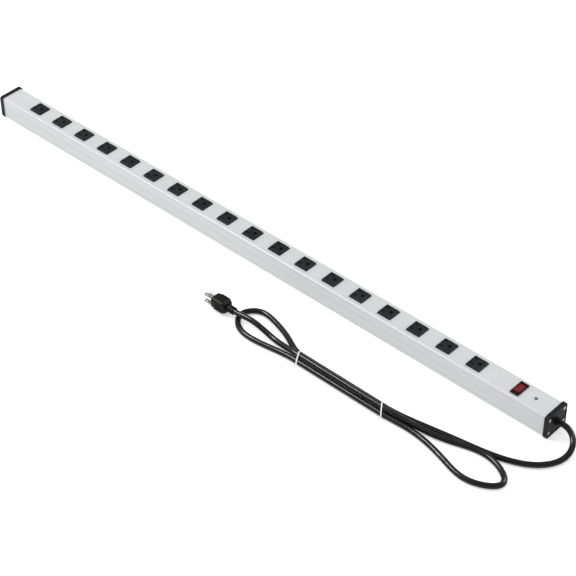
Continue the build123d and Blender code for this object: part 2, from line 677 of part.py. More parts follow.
SLEEVE_TOP_Z = SWITCH_FLOOR_Z - 1.0
SLEEVE_BOTTOM_Z = TERMINAL_TIP_Z - 2.5
SLEEVE_WALL = 1.0
SLEEVE_CORNER_RADIUS = 0.6
SLEEVE_POCKET_BOTTOM_Z = TERMINAL_TIP_Z - 0.2
BARREL_RADIUS = 2.4
BARREL_Z = 4.8
BARREL_HALF_LENGTH = TAB_WIDTH / 2 + SLEEVE_WALL

with BuildPart() as quick_connects:
    with BuildSketch(Plane.XY.offset(SLEEVE_BOTTOM_Z)):
        with Locations(*[(SWITCH_X, y) for y in TERMINAL_YS.values()]):
            RectangleRounded(
                TAB_WIDTH + 2 * SLEEVE_WALL, SHEET + 2 * SLEEVE_WALL, SLEEVE_CORNER_RADIUS
            )
    extrude(amount=SLEEVE_TOP_Z - SLEEVE_BOTTOM_Z)
    with BuildSketch(Plane.XY.offset(SLEEVE_POCKET_BOTTOM_Z)):
        with Locations(*[(SWITCH_X, y) for y in TERMINAL_YS.values()]):
            Rectangle(TAB_WIDTH + 2 * CLEARANCE, SHEET + 2 * CLEARANCE)
    extrude(amount=SLEEVE_TOP_Z - SLEEVE_POCKET_BOTTOM_Z, mode=Mode.SUBTRACT)
    with BuildSketch(along_x(SWITCH_X)):
        with Locations(*[(y, BARREL_Z) for y in TERMINAL_YS.values()]):
            Circle(BARREL_RADIUS)
    extrude(amount=BARREL_HALF_LENGTH, both=True)
    with BuildSketch(along_x(SWITCH_X)):
        with Locations(*[(y, BARREL_Z) for y in TERMINAL_YS.values()]):
            Circle(CORE_RADIUS + CLEARANCE / 2)
    extrude(amount=BARREL_HALF_LENGTH, both=True, mode=Mode.SUBTRACT)
save(quick_connects.part, "quick_connect_sleeves")

# ---- ground bond --------------------------------------------------------------------

GROUND_SHANK_RADIUS = 1.9
GROUND_SHANK_LENGTH = 9.4
GROUND_HEAD_RADIUS = 2.6
GROUND_HEAD_HEIGHT = 1.5
GROUND_HEAD_ROUNDING = 1.0
GROUND_RECESS_LENGTH = 2.6
GROUND_RECESS_WIDTH = 0.7
GROUND_RECESS_DEPTH = 1.1
RING_TOP_Z = ROOF_Z - CLEARANCE
RING_OUTER_RADIUS = 4.0
RING_TONGUE_WIDTH = 3.0
RING_BARREL_RADIUS = 2.4
RING_BARREL_X = 7.0
RING_BARREL_BOTTOM_Z = 28.6
RING_BARREL_DEPTH = 3.4
RING_STEP = SHEET + CLEARANCE
NUT_TOP_Z = RING_TOP_Z - 2 * RING_STEP
NUT_HEIGHT = 3.2
NUT_HALF_FLATS = 3.5

with BuildPart() as ground_screw:
    with BuildSketch(Plane.XY.offset(TOP_Z)):
        with Locations((GROUND_SCREW_X, 0)):
            Circle(GROUND_HEAD_RADIUS)
    extrude(amount=GROUND_HEAD_HEIGHT)
    fillet(ground_screw.edges().group_by(Axis.Z)[-1], GROUND_HEAD_ROUNDING)
    with BuildSketch(Plane.XY.offset(TOP_Z)):
        with Locations((GROUND_SCREW_X, 0)):
            Circle(GROUND_SHANK_RADIUS)
    extrude(amount=-GROUND_SHANK_LENGTH)
    with BuildSketch(Plane.XY.offset(TOP_Z + GROUND_HEAD_HEIGHT)):
        with Locations((GROUND_SCREW_X, 0)):
            Rectangle(GROUND_RECESS_LENGTH, GROUND_RECESS_WIDTH)
            Rectangle(GROUND_RECESS_WIDTH, GROUND_RECESS_LENGTH)
    extrude(amount=-GROUND_RECESS_DEPTH, mode=Mode.SUBTRACT)
save(ground_screw.part, "ground_screw")


def ground_ring(side, ring_z):
    """Ring terminal whose barrel is bent down on one side of the nut."""
    barrel_x = GROUND_SCREW_X + side * RING_BARREL_X
    with BuildPart() as ring:
        with BuildSketch(Plane.XY.offset(ring_z)):
            with Locations((GROUND_SCREW_X, 0)):
                Circle(RING_OUTER_RADIUS)
            with Locations(((GROUND_SCREW_X + barrel_x) / 2, 0)):
                Rectangle(RING_BARREL_X, RING_TONGUE_WIDTH)
            with Locations((GROUND_SCREW_X, 0)):
                Circle(GROUND_SHANK_RADIUS + CLEARANCE, mode=Mode.SUBTRACT)
        extrude(amount=-SHEET)
        with BuildSketch(Plane.XY.offset(RING_BARREL_BOTTOM_Z)):
            with Locations((barrel_x, 0)):
                Circle(RING_BARREL_RADIUS)
        extrude(amount=ring_z - RING_BARREL_BOTTOM_Z)
        with BuildSketch(Plane.XY.offset(RING_BARREL_BOTTOM_Z)):
            with Locations((barrel_x, 0)):
                Circle(CORE_RADIUS + CLEARANCE / 2)
        extrude(amount=RING_BARREL_DEPTH, mode=Mode.SUBTRACT)
    return ring.part


# Stacked under the roof: the cord's ground wire comes up into one, the bond lead into the other.
ground_rings = Compound(
    children=[ground_ring(1, RING_TOP_Z), ground_ring(-1, RING_TOP_Z - RING_STEP)]
)
save(ground_rings, "ground_ring_terminals")

with BuildPart() as ground_nut:
    with BuildSketch(Plane.XY.offset(NUT_TOP_Z)):
        with Locations((GROUND_SCREW_X, 0)):
            RegularPolygon(NUT_HALF_FLATS, 6, major_radius=False)
            Circle(GROUND_SHANK_RADIUS + CLEARANCE / 2, mode=Mode.SUBTRACT)
    extrude(amount=-NUT_HEIGHT)
save(ground_nut.part, "ground_nut")

# ---- power cord ---------------------------------------------------------------------

# Two strands lie side by side at the ties, with the third in the groove on top of them.
STRANDS = {
    "inner": (BUNDLE_Y + STRAND_SPREAD, BUNDLE_LAY_Z),
    "upper": (BUNDLE_Y, BUNDLE_LAY_Z + STRAND_RISE),
    "outer": (BUNDLE_Y - STRAND_SPREAD, BUNDLE_LAY_Z),
}

# Free run from the bush down to the floor and back along the housing to the right tie.
EXIT_RUN = [
    (HALF_LENGTH + 24, 0, CORD_EXIT_Z - 0.8),
    (HALF_LENGTH + 42, -8, 12.0),
    (HALF_LENGTH + 52, -31, FLOOR_LAY_Z + 2.0),
    (HALF_LENGTH + 35, -73, FLOOR_LAY_Z + 0.3),
    (HALF_LENGTH - 6, -97.5, FLOOR_LAY_Z),
    (HALF_LENGTH - 88, -115.5, FLOOR_LAY_Z),
    (HALF_LENGTH - 150, -127, FLOOR_LAY_Z),
]
# Left loop: out along the inner strand, round the far end and back along the outer strand.
LEFT_LOOP = [
    (TIE_LEFT_X - 42, -119, FLOOR_LAY_Z),
    (TIE_LEFT_X - 88, -103.5, FLOOR_LAY_Z),
    (TIE_LEFT_X - 119, -103, FLOOR_LAY_Z),
    (TIE_LEFT_X - 136, -124, FLOOR_LAY_Z),
    (TIE_LEFT_X - 121, -149.5, FLOOR_LAY_Z),
    (TIE_LEFT_X - 88, -157.5, FLOOR_LAY_Z),
    (TIE_LEFT_X - 42, -152, FLOOR_LAY_Z),
]
# Right loop: out along the outer strand, round, back beside the exit run, up to the upper strand.
RIGHT_LOOP = [
    (TIE_RIGHT_X + 58, -145.5, FLOOR_LAY_Z),
    (TIE_RIGHT_X + 135, -160, FLOOR_LAY_Z),
    (TIE_RIGHT_X + 192, -166, FLOOR_LAY_Z),
    (TIE_RIGHT_X + 225, -140, FLOOR_LAY_Z),
    (TIE_RIGHT_X + 190, -113.5, FLOOR_LAY_Z),
    (TIE_RIGHT_X + 115, -124.5, FLOOR_LAY_Z),
    (TIE_RIGHT_X + 50, -137, FLOOR_LAY_Z + 3),
]
# Last run, over the end of the left loop and into the plug.
PLUG_RUN = [
    (TIE_LEFT_X - 60, -135.5, FLOOR_LAY_Z + 1.5),
    (TIE_LEFT_X - 106, -134.5, FLOOR_LAY_Z + 9.5),
]


def tie_end(tie_x, strand):
    """Where a strand enters or leaves the bundle at one tie."""
    return (tie_x, *STRANDS[strand])


CORD_START = (JACKET_START_X, 0, CORD_EXIT_Z)
BUSH_MOUTH = (HALF_LENGTH + BUSH_REACH, 0, CORD_EXIT_Z)
NECK_MOUTH = (PLUG_BACK_X, PLUG_Y, PLUG_Z)
CORD_END = (PLUG_FACE_X + PLUG_INSERT + CORD_END_GAP, PLUG_Y, PLUG_Z)
RIGHTWARDS = (1, 0, 0)
LEFTWARDS = (-1, 0, 0)


def curve(start, points, end, start_way, end_way):
    """Smooth run of cord that leaves start along start_way and meets end along end_way."""
    return Spline(start, *points, end, tangents=[start_way, end_way], tangent_scalars=[1, 1])


# Straight runs under the ties, joined by curves that leave and meet them along X.
with BuildLine() as cord_path:
    Line(CORD_START, BUSH_MOUTH)
    curve(BUSH_MOUTH, EXIT_RUN, tie_end(TIE_RIGHT_X, "inner"), RIGHTWARDS, LEFTWARDS)
    Line(tie_end(TIE_RIGHT_X, "inner"), tie_end(TIE_LEFT_X, "inner"))
    curve(
        tie_end(TIE_LEFT_X, "inner"),
        LEFT_LOOP,
        tie_end(TIE_LEFT_X, "outer"),
        LEFTWARDS,
        RIGHTWARDS,
    )
    Line(tie_end(TIE_LEFT_X, "outer"), tie_end(TIE_RIGHT_X, "outer"))
    curve(
        tie_end(TIE_RIGHT_X, "outer"),
        RIGHT_LOOP,
        tie_end(TIE_RIGHT_X, "upper"),
        RIGHTWARDS,
        LEFTWARDS,
    )
    Line(tie_end(TIE_RIGHT_X, "upper"), tie_end(TIE_LEFT_X, "upper"))
    curve(tie_end(TIE_LEFT_X, "upper"), PLUG_RUN, NECK_MOUTH, LEFTWARDS, LEFTWARDS)
    Line(NECK_MOUTH, CORD_END)

with BuildPart() as cord_jacket:
    for run in cord_path.edges():
        with BuildSketch(Plane(origin=run @ 0, z_dir=run % 0)):
            Circle(CORD_RADIUS)
        sweep(path=run)
    with BuildSketch(along_x(JACKET_START_X)):
        with Locations((0, CORD_EXIT_Z)):
            Circle(JACKET_BORE_RADIUS)
    extrude(amount=CORE_GRIP, mode=Mode.SUBTRACT)
save(cord_jacket.part, "power_cord_jacket")

# ---- insulated wires ----------------------------------------------------------------

JACKET_LEAD = 2.0
SPLICE_GRIP = SPLICE_HALF_LENGTH - CLEARANCE
SPLICE_LEAD = 1.0
BARREL_LEAD = 3.6
RING_GRIP = RING_BARREL_DEPTH - CLEARANCE
RING_LEAD = 1.0


def insulated_wire(start, bends, end):
    """Wire that leaves start and meets end along their straight runs, bending in between."""
    with BuildPart() as strand:
        with BuildLine() as route:
            Line(*start)
            leave_way = Vector(*start[1]) - Vector(*start[0])
            meet_way = Vector(*end[1]) - Vector(*end[0])
            curve(start[1], bends, end[0], leave_way.normalized(), meet_way.normalized())
            Line(*end)
        for run in route.edges():
            with BuildSketch(Plane(origin=run @ 0, z_dir=run % 0)):
                Circle(CORE_RADIUS)
            sweep(path=run)
    return strand.part


def out_of_jacket(angle):
    """Straight run of the conductor that sits at this angle in the cord."""
    core_y = CORE_CIRCLE_RADIUS * math.cos(math.radians(angle))
    core_z = CORD_EXIT_Z + CORE_CIRCLE_RADIUS * math.sin(math.radians(angle))
    gripped_x = JACKET_START_X + CORE_GRIP - CLEARANCE
    return [(gripped_x, core_y, core_z), (JACKET_START_X - JACKET_LEAD, core_y, core_z)]


def into_splice(pole):
    """Straight run that ends in one pole's splice."""
    mouth_x = BUS_END_X + SPLICE_HALF_LENGTH
    spot = (BUS_YS[pole], BUS_Z)
    return [(mouth_x + SPLICE_LEAD, *spot), (mouth_x - SPLICE_GRIP, *spot)]


def through_barrel(name, side):
    """Straight run between the middle of a sleeve's barrel and a point off its side."""
    spot = (TERMINAL_YS[name], BARREL_Z)
    return [(SWITCH_X + side * (BARREL_HALF_LENGTH + BARREL_LEAD), *spot), (SWITCH_X, *spot)]


def under_ring(side):
    """Straight run up into the ring barrel on one side of the nut."""
    barrel_x = GROUND_SCREW_X + side * RING_BARREL_X
    lead_z = RING_BARREL_BOTTOM_Z - RING_LEAD
    return [(barrel_x, 0, lead_z), (barrel_x, 0, RING_BARREL_BOTTOM_Z + RING_GRIP)]


LINE_BENDS = [(SWITCH_X + 27, 1.0, 9.0)]
NEUTRAL_BENDS = [(SWITCH_X + 28, -9.0, 15.0), (SWITCH_X + 6, -13.0, 13.4), (SWITCH_X - 6, -12.4, 12.4)]
LOAD_BENDS = [(SWITCH_X - 22, -2.0, 4.4)]
BOND_BENDS = [(SWITCH_X + 16, 3.0, 16.0), (SWITCH_X + 3, 4.25, 11.8), (SWITCH_X - 6, 4.0, 11.2)]

save(insulated_wire(out_of_jacket(330), LINE_BENDS, through_barrel("common", 1)), "conductor_line")
save(insulated_wire(out_of_jacket(210), NEUTRAL_BENDS, into_splice("neutral")), "conductor_neutral")
save(insulated_wire(out_of_jacket(90), [], under_ring(1)), "conductor_ground")
save(insulated_wire(through_barrel("load", -1)[::-1], LOAD_BENDS, into_splice("line")), "lead_load")
save(insulated_wire(under_ring(-1)[::-1], BOND_BENDS, into_splice("ground")), "lead_ground")

# ---- cord bush ----------------------------------------------------------------------

BUSH_TIP_RADIUS = 5.9
BUSH_INSIDE = 8.0
BUSH_GROOVE_RADIUS = 8.2

with BuildPart() as cord_bush:
    with BuildSketch(along_x(HALF_LENGTH - BUSH_INSIDE)):
        with Locations((0, CORD_EXIT_Z)):
            Circle(BUSH_GROOVE_RADIUS)
    extrude(amount=BUSH_INSIDE - CLEARANCE)
    with BuildSketch(along_x(HALF_LENGTH - CLEARANCE)):
        with Locations((0, CORD_EXIT_Z)):
            Circle(BUSH_HOLE_RADIUS)
    with BuildSketch(along_x(HALF_LENGTH + BUSH_REACH)):
        with Locations((0, CORD_EXIT_Z)):
            Circle(BUSH_TIP_RADIUS)
    loft()
    with BuildSketch(along_x(HALF_LENGTH - BUSH_INSIDE)):
        with Locations((0, CORD_EXIT_Z)):
            Circle(CORD_RADIUS + CLEARANCE)
    extrude(amount=BUSH_INSIDE + BUSH_REACH, mode=Mode.SUBTRACT)
save(cord_bush.part, "cord_strain_relief")

# ---- plug ---------------------------------------------------------------------------

PLUG_HALF_Y = 11.5
PLUG_HALF_Z = 11.0
PLUG_WAIST = 2.2
PLUG_SHOULDER = 5.0
PLUG_NOSE = 7.0
PLUG_NOSE_STEP = 1.1
PLUG_CORNER_RADIUS = 5.0
PLUG_FACE_ROUNDING = 1.0
PLUG_GRIPS = 4
GRIP_START = 6.5
GRIP_HALF_Z = 6.5
GRIP_PITCH = 3.2
GRIP_DEPTH = 0.8
NECK_RADIUS = 6.4
NECK_GROOVES = 4
NECK_GROOVE_START = 2.0
NECK_GROOVE_PITCH = 2.8
NECK_GROOVE = 1.2
NECK_GROOVE_RADIUS = 5.5
BLADE_SIDE = 5.0
PIN_SIDE = BLADE_SIDE - PIN_OFFSET
BLADE_HOLE_RADIUS = 1.6
BLADE_HOLE_BACK = 4.2
BLADE_TIP_BEVEL = 0.5


def across_plug(distance_from_back):
    """Plane across the plug, looking towards its blades: local x is -Y, local y is +Z."""
    origin = (PLUG_BACK_X - distance_from_back, PLUG_Y, PLUG_Z)
    return Plane(origin=origin, x_dir=(0, -1, 0), z_dir=(-1, 0, 0))


BLADE_SPOTS = {
    "neutral": (BLADE_SIDE, BLADE_SPACING / 2),
    "line": (BLADE_SIDE, -BLADE_SPACING / 2),
}
PLUG_LENGTH = PLUG_NECK + PLUG_BODY
CORD_POCKET = PLUG_BACK_X - CORD_END[0] + CLEARANCE

with BuildPart() as plug_body:
    with BuildSketch(across_plug(PLUG_NECK)):
        RectangleRounded(
            2 * (PLUG_HALF_Y - PLUG_WAIST), 2 * (PLUG_HALF_Z - PLUG_WAIST), PLUG_CORNER_RADIUS
        )
    with BuildSketch(across_plug(PLUG_NECK + PLUG_SHOULDER)):
        RectangleRounded(2 * PLUG_HALF_Y, 2 * PLUG_HALF_Z, PLUG_CORNER_RADIUS)
    loft()
    with BuildSketch(across_plug(PLUG_NECK + PLUG_SHOULDER)):
        RectangleRounded(2 * PLUG_HALF_Y, 2 * PLUG_HALF_Z, PLUG_CORNER_RADIUS)
    extrude(amount=PLUG_BODY - PLUG_SHOULDER - PLUG_NOSE)
    with BuildSketch(across_plug(PLUG_LENGTH - PLUG_NOSE)):
        RectangleRounded(
            2 * (PLUG_HALF_Y - PLUG_NOSE_STEP), 2 * (PLUG_HALF_Z - PLUG_NOSE_STEP), PLUG_CORNER_RADIUS
        )
    extrude(amount=PLUG_NOSE)
    fillet(plug_body.faces().sort_by(Axis.X)[0].edges(), PLUG_FACE_ROUNDING)
    with BuildSketch(across_plug(0)):
        Circle(NECK_RADIUS)
    extrude(amount=PLUG_NECK)
    for groove in range(NECK_GROOVES):
        with BuildSketch(across_plug(NECK_GROOVE_START + groove * NECK_GROOVE_PITCH)):
            Circle(NECK_RADIUS + NECK_GROOVE)
            Circle(NECK_GROOVE_RADIUS, mode=Mode.SUBTRACT)
        extrude(amount=NECK_GROOVE, mode=Mode.SUBTRACT)
    for grip in range(PLUG_GRIPS):
        with BuildSketch(across_plug(PLUG_NECK + GRIP_START + grip * GRIP_PITCH)):
            with Locations((PLUG_HALF_Y, 0), (-PLUG_HALF_Y, 0)):
                Rectangle(2 * GRIP_DEPTH, 2 * GRIP_HALF_Z)
        extrude(amount=GRIP_PITCH / 2, mode=Mode.SUBTRACT)
    with BuildSketch(across_plug(0)):
        Circle(CORD_RADIUS + CLEARANCE / 2)
    extrude(amount=CORD_POCKET, mode=Mode.SUBTRACT)
    with BuildSketch(across_plug(PLUG_LENGTH)):
        with Locations(*BLADE_SPOTS.values()):
            Rectangle(BLADE_WIDTH + CLEARANCE, BLADE_THICKNESS + CLEARANCE)
        with Locations((PIN_SIDE, 0)):
            Circle(PIN_ROOT_RADIUS + CLEARANCE / 2)
    extrude(amount=-PLUG_INSERT, mode=Mode.SUBTRACT)
save(plug_body.part, "plug_body")


def plug_blade(spot):
    """Flat blade with a hole near its chamfered tip."""
    with BuildPart() as blade:
        with BuildSketch(across_plug(PLUG_LENGTH - PLUG_INSERT + CLEARANCE)):
            with Locations(spot):
                Rectangle(BLADE_WIDTH, BLADE_THICKNESS)
        extrude(amount=PLUG_INSERT + BLADE_LENGTH - CLEARANCE)
        chamfer(blade.faces().sort_by(Axis.X)[0].edges(), BLADE_TIP_BEVEL)
        tip_x = PLUG_FACE_X - BLADE_LENGTH
        with BuildSketch(Plane.XY.offset(PLUG_Z + spot[1] + BLADE_THICKNESS)):
            with Locations((tip_x + BLADE_HOLE_BACK, PLUG_Y - spot[0])):
                Circle(BLADE_HOLE_RADIUS)
        extrude(amount=-2 * BLADE_THICKNESS, mode=Mode.SUBTRACT)
    return blade.part


for pole, blade_spot in BLADE_SPOTS.items():
    save(plug_blade(blade_spot), f"plug_blade_{pole}")

with BuildPart() as ground_pin:
    with BuildSketch(across_plug(PLUG_LENGTH - PLUG_INSERT + CLEARANCE)):
        with Locations((PIN_SIDE, 0)):
            Circle(PIN_ROOT_RADIUS)
    extrude(amount=PLUG_INSERT + PIN_RELIEF - CLEARANCE)
    with BuildSketch(across_plug(PLUG_LENGTH + PIN_RELIEF)):
        with Locations((PIN_SIDE, 0)):
            Circle(PIN_RADIUS)
    extrude(amount=PIN_LENGTH - PIN_RELIEF)
    fillet(ground_pin.faces().sort_by(Axis.X)[0].edges(), PIN_TIP_ROUNDING)
save(ground_pin.part, "plug_ground_pin")

# ---- twist ties ---------------------------------------------------------------------

TAIL_LENGTH = 5.0


def around_strands(radius):
    """Outline stretched round circles of this radius, one on each strand."""
    with BuildSketch() as outline:
        with Locations(*STRANDS.values()):
            Circle(radius)
        make_hull()
    return outline.sketch


def twist_tie(at_x):
    """Flat tie stretched round three strands, with a short tail lying outwards from its twist."""
    with BuildPart() as tie:
        with BuildSketch(along_x(at_x - TIE_WIDTH / 2)):
            add(around_strands(CORD_RADIUS + CLEARANCE + TIE_THICKNESS))
            add(around_strands(CORD_RADIUS + CLEARANCE), mode=Mode.SUBTRACT)
        extrude(amount=TIE_WIDTH)
        tail_y, tail_z = STRANDS["outer"]
        with BuildSketch(along_x(at_x - TIE_WIDTH / 2)):
            with Locations((tail_y - CORD_RADIUS - CLEARANCE - TIE_THICKNESS / 2, tail_z)):
                Rectangle(TAIL_LENGTH, TIE_THICKNESS, align=(Align.MAX, Align.CENTER))
        extrude(amount=TIE_WIDTH)
    return tie.part


save(twist_tie(TIE_LEFT_X), "twist_tie_left")
save(twist_tie(TIE_RIGHT_X), "twist_tie_right")
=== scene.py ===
"""Looks for the rack power strip: materials, twist ties, floor, light and camera."""

import json
import math

import bmesh
import bpy
from mathutils import Matrix, Vector


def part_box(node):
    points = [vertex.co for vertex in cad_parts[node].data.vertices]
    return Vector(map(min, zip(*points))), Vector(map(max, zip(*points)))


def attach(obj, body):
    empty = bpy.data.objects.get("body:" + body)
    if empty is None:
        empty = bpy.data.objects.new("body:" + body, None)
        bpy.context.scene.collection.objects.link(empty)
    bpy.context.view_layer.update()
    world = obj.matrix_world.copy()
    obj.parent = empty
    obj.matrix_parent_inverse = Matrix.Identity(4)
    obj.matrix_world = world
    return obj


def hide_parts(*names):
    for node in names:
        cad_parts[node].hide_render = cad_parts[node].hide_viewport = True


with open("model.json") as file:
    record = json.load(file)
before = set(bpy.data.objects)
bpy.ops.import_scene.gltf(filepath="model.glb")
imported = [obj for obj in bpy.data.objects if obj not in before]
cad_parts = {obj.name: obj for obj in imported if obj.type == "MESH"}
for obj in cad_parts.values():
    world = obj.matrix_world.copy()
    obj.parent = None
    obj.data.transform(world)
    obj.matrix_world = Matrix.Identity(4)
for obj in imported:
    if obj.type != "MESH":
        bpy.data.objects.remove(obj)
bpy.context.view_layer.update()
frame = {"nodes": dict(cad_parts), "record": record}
NODES = frame["nodes"]
MM = 0.001
BEVEL_SAMPLES = 4


# ---- material kit -------------------------------------------------------------------

def srgb(value):
    """Linear value of one 0 to 255 sRGB channel, by the standard's curve."""
    c = value / 255
    return c / 12.92 if c <= 0.04045 else ((c + 0.055) / 1.055) ** 2.4


def rgb(red, green, blue):
    """Linear colour of an sRGB triple."""
    return (srgb(red), srgb(green), srgb(blue), 1.0)


def grey(level):
    """Linear grey."""
    return (level, level, level, 1)


class Shader:
    """One node material that is put together step by step."""

    def __init__(self, name):
        self.material = bpy.data.materials.new(name)
        self.material.use_nodes = True
        self.tree = self.material.node_tree
        self.bsdf = self.tree.nodes["Principled BSDF"]
        self.normal = None

    def node(self, kind, **values):
        """New node with its properties set."""
        made = self.tree.nodes.new(kind)
        for key, value in values.items():
            setattr(made, key, value)
        return made

    def link(self, source, target):
        """Joins an output socket to an input socket."""
        self.tree.links.new(source, target)

    def place(self, stretch=(1, 1, 1)):
        """Row-frame coordinates, squeezed along each axis by stretch."""
        coords = self.node("ShaderNodeTexCoord")
        mapping = self.node("ShaderNodeMapping")
        mapping.inputs["Scale"].default_value = stretch
        self.link(coords.outputs["Object"], mapping.inputs["Vector"])
        return mapping.outputs["Vector"]

    def noise(self, scale, detail=3.0, stretch=(1, 1, 1)):
        """Noise with scale features per metre."""
        made = self.node("ShaderNodeTexNoise")
        made.inputs["Scale"].default_value = scale
        made.inputs["Detail"].default_value = detail
        self.link(self.place(stretch), made.inputs["Vector"])
        return made.outputs["Fac"]

    def remap(self, source, low, high, to_low=0.0, to_high=1.0):
        """Source stretched from low..high to to_low..to_high, and held at those ends."""
        made = self.node("ShaderNodeMapRange")
        made.inputs["From Min"].default_value = low
        made.inputs["From Max"].default_value = high
        made.inputs["To Min"].default_value = to_low
        made.inputs["To Max"].default_value = to_high
        self.link(source, made.inputs["Value"])
        return made.outputs["Result"]

    def mix(self, factor, first, second):
        """Colour between first and second, each a colour or a socket."""
        made = self.node("ShaderNodeMix", data_type="RGBA")
        self.link(factor, made.inputs["Factor"])
        colours = [s for s in made.inputs if s.type == "RGBA"]
        for socket, value in zip(colours, (first, second)):
            if isinstance(value, tuple):
                socket.default_value = value
            else:
                self.link(value, socket)
        return [s for s in made.outputs if s.type == "RGBA"][0]

    def maths(self, operation, first, second=0):
        """One arithmetic step on numbers or sockets; some operations need only the first."""
        made = self.node("ShaderNodeMath", operation=operation)
        for socket, value in zip(made.inputs, (first, second)):
            if isinstance(value, (int, float)):
                socket.default_value = value
            else:
                self.link(value, socket)
        return made.outputs["Value"]

    def axis(self, name):
        """One row-frame coordinate in metres."""
        coords = self.node("ShaderNodeTexCoord")
        split = self.node("ShaderNodeSeparateXYZ")
        self.link(coords.outputs["Object"], split.inputs["Vector"])
        return split.outputs[name]

    def bump(self, height, depth, strength=1.0):
        """Adds one layer of relief, depth metres deep where height goes from 0 to 1."""
        made = self.node("ShaderNodeBump")
        made.inputs["Strength"].default_value = strength
        made.inputs["Distance"].default_value = depth
        self.link(height, made.inputs["Height"])
        if self.normal is not None:
            self.link(self.normal, made.inputs["Normal"])
        self.normal = made.outputs["Normal"]

    def soften(self, radius):
        """Rounds every sharp edge by radius metres in the shading."""
        made = self.node("ShaderNodeBevel", samples=BEVEL_SAMPLES)
        made.inputs["Radius"].default_value = radius
        self.normal = made.outputs["Normal"]

    def edge(self, radius, gain):
        """0 on flats, up to 1 on edges."""
        rounded = self.node("ShaderNodeBevel", samples=BEVEL_SAMPLES)
        rounded.inputs["Radius"].default_value = radius
        plain = self.node("ShaderNodeNewGeometry")
        dot = self.node("ShaderNodeVectorMath", operation="DOT_PRODUCT")
        self.link(rounded.outputs["Normal"], dot.inputs[0])
        self.link(plain.outputs["Normal"], dot.inputs[1])
        made = self.maths("SUBTRACT", 1.0, dot.outputs["Value"])
        made = self.maths("MULTIPLY", made, gain)
        clamp = self.node("ShaderNodeClamp")
        self.link(made, clamp.inputs["Value"])
        return clamp.outputs["Result"]

    def edge_highlight(self, tone, colour, radius, gain, share):
        """Tone with up to a share of colour on its edges, as a painted highlight."""
        return self.mix(self.maths("MULTIPLY", self.edge(radius, gain), share), tone, colour)

    def set(self, **values):
        """Principled inputs by name, spaces written as underscores."""
        for key, value in values.items():
            socket = self.bsdf.inputs[key.replace("_", " ")]
            if hasattr(value, "is_output"):
                self.link(value, socket)
            else:
                socket.default_value = value

    def done(self):
        """The finished material, with its relief joined on."""
        if self.normal is not None:
            self.link(self.normal, self.bsdf.inputs["Normal"])
        return self.material


# ---- materials ----------------------------------------------------------------------

# Faint bands of painted shade along the sides of the extrusion: a light one's height, spacing, dark
# tone's share.
BAND_Z = 12.7 * MM
BAND_PITCH = 15.5 * MM
BAND_SHADE_SHARE = 0.16


def enamel():
    """Satin grey extrusion: die lines, fine grain, faint lengthwise bands of painted shade and a
    painted highlight on the edges.
    """
    s = Shader("satin_extrusion")
    s.soften(0.35 * MM)
    lines = s.noise(scale=900, detail=2.0, stretch=(0.004, 1, 1))
    grain = s.noise(scale=2600, detail=2.0)
    clouds = s.noise(scale=9, detail=2.0, stretch=(0.4, 1, 1))
    tone = s.mix(s.remap(lines, 0.35, 0.65), rgb(208, 210, 212), rgb(216, 218, 220))
    tone = s.mix(s.remap(clouds, 0.3, 0.7, to_high=0.35), tone, rgb(222, 223, 225))
    # Painted shade: faint bands that darken the sides by height.
    height = s.maths("SUBTRACT", s.axis("Z"), BAND_Z)
    waves = s.maths("COSINE", s.maths("MULTIPLY", height, 2 * math.pi / BAND_PITCH))
    tone = s.mix(s.remap(waves, -1, 1, BAND_SHADE_SHARE, 0), tone, rgb(184, 186, 189))
    # Painted highlight: the sharp edges go near white.
    tone = s.edge_highlight(tone, rgb(236, 237, 238), radius=0.5 * MM, gain=5.0, share=0.5)
    s.bump(lines, depth=0.012 * MM, strength=0.35)
    s.bump(grain, depth=0.008 * MM, strength=0.35)
    s.set(Base_Color=tone, Metallic=0.2, Roughness=s.remap(grain, 0.3, 0.7, 0.36, 0.46))
    return s.done()


def moulded(name, dark, light, rough, edge_highlight_tone=None, pit_depth=0.02 * MM, pits_per_metre=1400):
    """Moulded plastic: sparked grain, slow tone drift, lighter edges as a painted highlight."""
    s = Shader(name)
    s.soften(0.25 * MM)
    pits = s.noise(pits_per_metre)
    drift = s.noise(scale=35, detail=2.0)
    tone = s.mix(s.remap(drift, 0.3, 0.7), dark, light)
    tone = s.mix(s.remap(pits, 0.55, 0.8, to_high=0.25), tone, light)
    # Painted highlight: the edges go lighter, towards the edge tone.
    if edge_highlight_tone:
        tone = s.edge_highlight(tone, edge_highlight_tone, radius=0.35 * MM, gain=5.0, share=0.6)
    s.bump(pits, depth=pit_depth, strength=0.5)
    s.set(Base_Color=tone, Roughness=s.remap(pits, 0.3, 0.7, rough - 0.05, rough + 0.06))
    return s.done()


def metal(name, dark, light, rough, stretch=(1, 1, 1), shine=1.0):
    """Plated or bare metal: fine drawn lines, slight tarnish, bright edges as a painted highlight.
    """
    s = Shader(name)
    s.soften(0.15 * MM)
    lines = s.noise(scale=1800, detail=2.0, stretch=stretch)
    tarnish = s.noise(scale=180)
    tone = s.mix(s.remap(tarnish, 0.35, 0.7), light, dark)
    # Painted highlight: the edges go near white.
    tone = s.edge_highlight(tone, rgb(240, 240, 236), radius=0.25 * MM, gain=4.0, share=0.5)
    s.bump(lines, depth=0.01 * MM, strength=0.4)
    s.set(Base_Color=tone, Metallic=shine)
    s.set(Roughness=s.remap(lines, 0.3, 0.7, rough - 0.06, rough + 0.08))
    return s.done()


